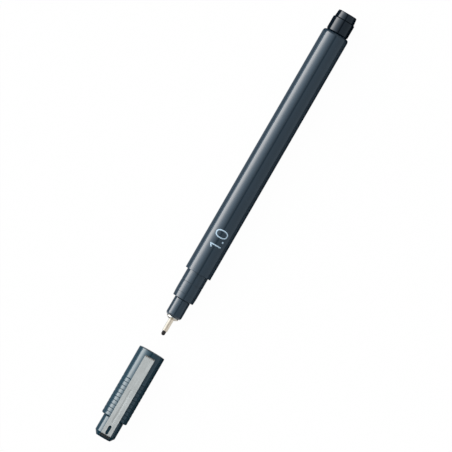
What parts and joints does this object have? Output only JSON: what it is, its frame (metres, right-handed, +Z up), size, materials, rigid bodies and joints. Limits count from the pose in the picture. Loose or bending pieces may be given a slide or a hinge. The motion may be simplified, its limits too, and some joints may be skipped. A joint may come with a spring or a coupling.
{
  "type": "fineliner pen",
  "caption": "Slim dark plastic fineliner pen with a metal-sleeved nib, stepped neck and nose, tail plug, and a pulled-off cap with grip rings and a sprung metal clip.",
  "frame": {"origin": "on the pen's axis, at the middle of the barrel's length", "axes": "+X along the pen towards the tail, so nib and cap lie towards -X; +Z up, on the clip's side, with the pen lying down"},
  "size_m": [0.1678, 0.0098, 0.0106],
  "materials": {
    "barrel_plastic": "polished",
    "tail_plastic": "polished",
    "cap_plastic": "polished",
    "clip_steel": "satin",
    "tip_steel": "polished",
    "nib_fibre": "matte",
    "ink_fibre": "matte",
    "clear_film": "glossy",
    "seal_plastic": "matte"
  },
  "bodies": {
    "pen": {"barrel": "barrel_plastic", "front_section": "barrel_plastic", "tip_collar": "tip_steel", "nib_tube": "tip_steel", "nib": "nib_fibre", "relay_wick": "ink_fibre", "ink_reservoir": "ink_fibre", "reservoir_film": "clear_film", "tail_plug": "tail_plastic"},
    "cap": {"cap_body": "cap_plastic", "inner_cap": "seal_plastic", "cap_head": "cap_plastic"},
    "clip": {"clip": "clip_steel"}
  },
  "joints": [
    {"name": "cap_slide", "type": "slide", "parent": "pen", "child": "cap", "axis": [1, 0, 0], "range_m": [0, 0.03105]},
    {"name": "clip_flex", "type": "hinge", "parent": "cap", "child": "clip", "pos_m": [-0.11167, 0, 0.00239], "axis": [0, -1, 0], "range_deg": [0, 3], "stiffness_Nm_per_rad": 0.6}
  ]
}
